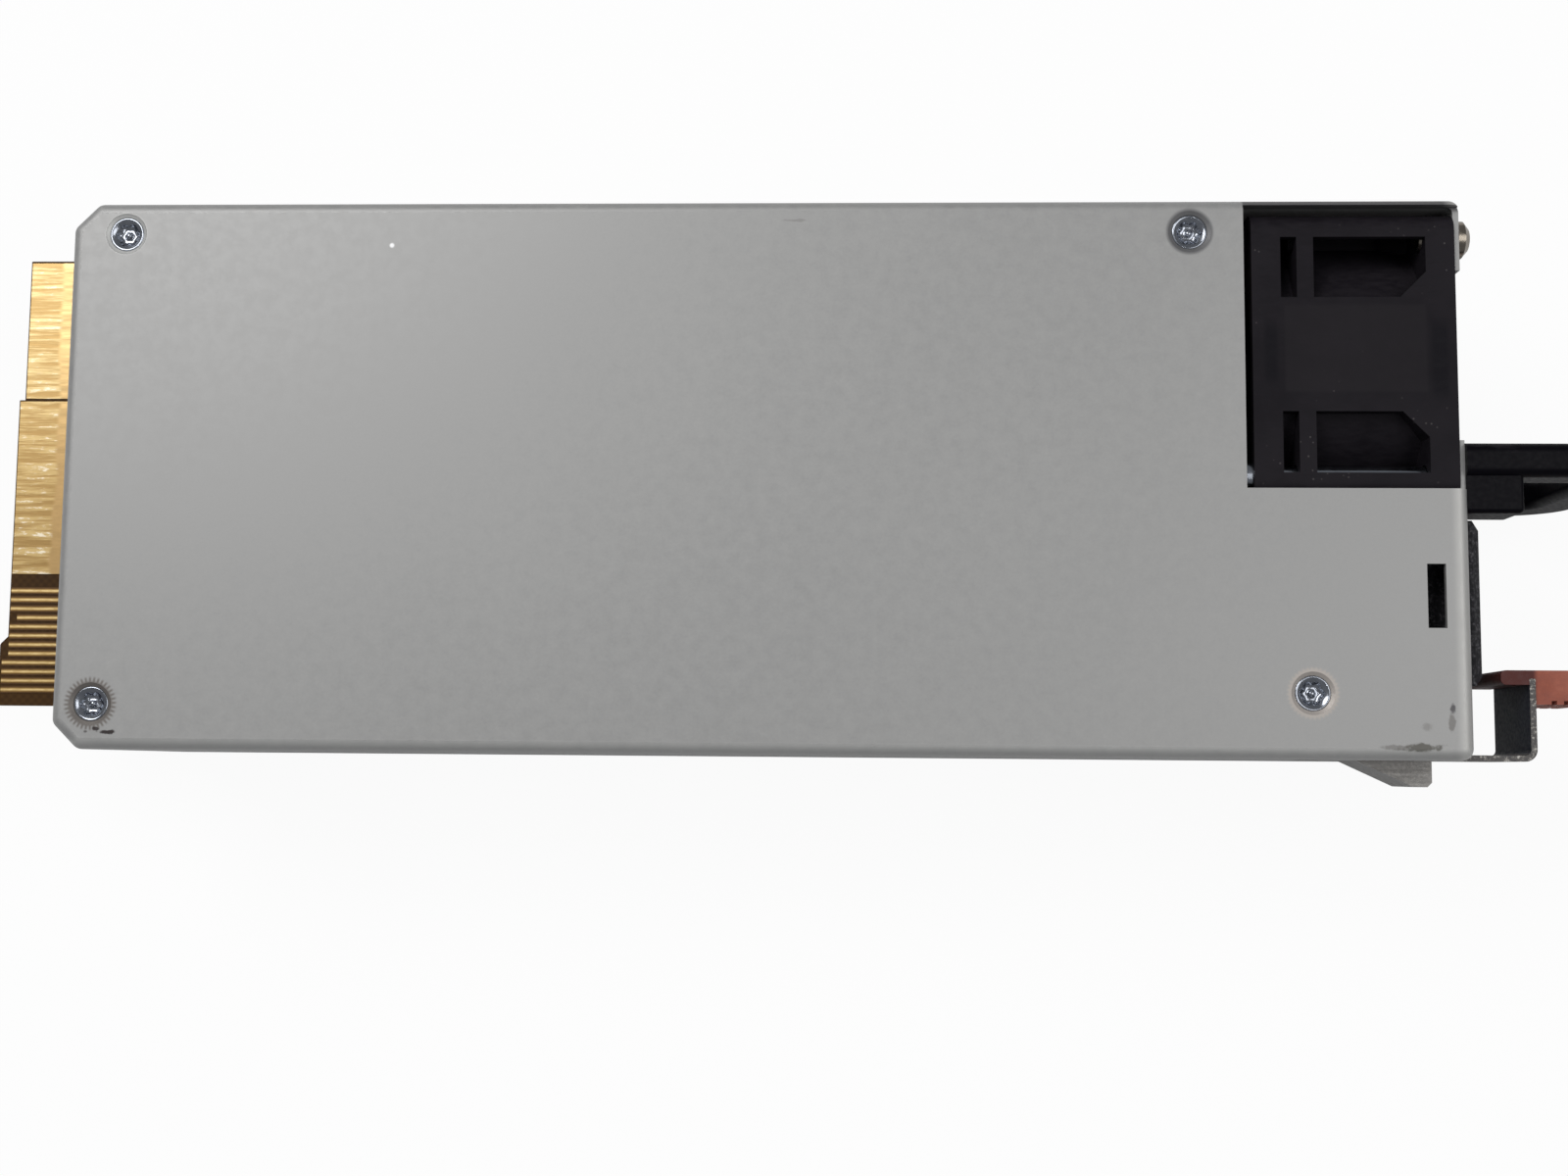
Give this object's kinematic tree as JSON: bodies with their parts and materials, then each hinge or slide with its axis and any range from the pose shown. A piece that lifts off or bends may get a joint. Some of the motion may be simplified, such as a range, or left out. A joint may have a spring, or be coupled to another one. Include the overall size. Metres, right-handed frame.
{
  "type": "hot swap server power supply",
  "caption": "Slim sheet-steel hot swap power supply module with a gold card edge, a fan beside the inlet, a loop handle and a squeeze-to-release latch with a soft pad.",
  "frame": {"origin": "centre of the cover's outer face, the face the module lies on", "axes": "+X from the card edge towards the handle, +Y towards the fan's side, +Z out of the face with the recessed board screws"},
  "size_m": [0.2254, 0.0769, 0.04],
  "materials": {
    "plated_sheet": "zinc-plated, dull satin",
    "screw_steel": "bright plated",
    "spring_steel": "rolled strip, satin",
    "turned_steel": "ground, bright",
    "fan_plastic": "moulded glass-filled black",
    "rotor_plastic": "moulded black",
    "magnet_ferrite": "bonded ferrite, dull",
    "coil_copper": "enamelled copper wire",
    "handle_plastic": "moulded black, fine sheen",
    "inlet_plastic": "moulded black, grained",
    "pin_brass": "nickel-plated brass",
    "light_lens": "clear tinted moulding",
    "release_pad": "soft terracotta moulding",
    "circuit_board": "solder mask over glass laminate",
    "insulator_film": "translucent pale film",
    "edge_board": "bare laminate, olive brown",
    "gold_plate": "hard gold over nickel, satin",
    "bus_copper": "tinned copper bar",
    "header_plastic": "moulded black",
    "can_sleeve": "heat-shrunk dark sleeve",
    "disc_resin": "dipped blue resin",
    "film_box": "moulded yellow box",
    "core_ferrite": "sintered, dull",
    "winding_tape": "yellow polyester tape",
    "ring_powder": "coated iron-powder ring",
    "heat_sink_metal": "extruded, satin",
    "black_epoxy": "moulded epoxy",
    "relay_case": "moulded blue case",
    "thermistor_resin": "dipped dark green resin",
    "fuse_glass": "clear tube with plated caps",
    "wire_jacket": "extruded insulation",
    "plug_nylon": "natural nylon"
  },
  "bodies": {
    "case": {"chassis": "plated_sheet", "cover": "plated_sheet", "cover_screws": "screw_steel", "board_screws": "screw_steel", "board_standoffs": "pin_brass", "fan_frame": "fan_plastic", "fan_bearings": "turned_steel", "fan_stator": "coil_copper", "fan_screws": "screw_steel", "handle": "handle_plastic", "handle_screws": "screw_steel", "inlet_body": "inlet_plastic", "inlet_pins": "pin_brass", "status_light": "light_lens", "latch_rivets": "screw_steel", "main_board": "circuit_board", "insulator_sheet": "insulator_film", "output_board": "edge_board", "power_pads": "gold_plate", "signal_fingers": "gold_plate", "bus_bars": "bus_copper", "signal_header": "header_plastic", "bulk_capacitor": "can_sleeve", "output_capacitors": "can_sleeve", "y_capacitors": "disc_resin", "x_capacitor": "film_box", "transformer_core": "core_ferrite", "transformer_windings": "winding_tape", "pfc_choke_ring": "ring_powder", "pfc_choke_winding": "coil_copper", "emi_choke_ring": "core_ferrite", "emi_choke_winding": "coil_copper", "resonant_choke": "core_ferrite", "standby_transformer": "winding_tape", "primary_heat_sink": "heat_sink_metal", "secondary_heat_sink": "heat_sink_metal", "primary_transistors": "black_epoxy", "rectifier_transistors": "black_epoxy", "bridge_rectifier": "black_epoxy", "inrush_relay": "relay_case", "control_board": "circuit_board", "thermistor": "thermistor_resin", "fuse": "fuse_glass", "inlet_wires": "wire_jacket", "fan_plug": "plug_nylon", "fan_lead": "wire_jacket"},
    "rotor": {"fan_rotor": "rotor_plastic", "fan_shaft": "turned_steel", "fan_magnet": "magnet_ferrite"},
    "latch": {"latch_spring": "spring_steel", "latch_pad": "release_pad"}
  },
  "joints": [
    {"name": "fan_spin", "type": "hinge", "parent": "case", "child": "rotor", "pos_m": [0.078, 0.0162, 0.02], "axis": [1, 0, 0], "continuous": true},
    {"name": "latch_release", "type": "hinge", "parent": "case", "child": "latch", "pos_m": [0.03, -0.03505, 0.0257], "axis": [0, 0, 1], "range_deg": [0, 3.6], "stiffness_Nm_per_rad": 5}
  ]
}
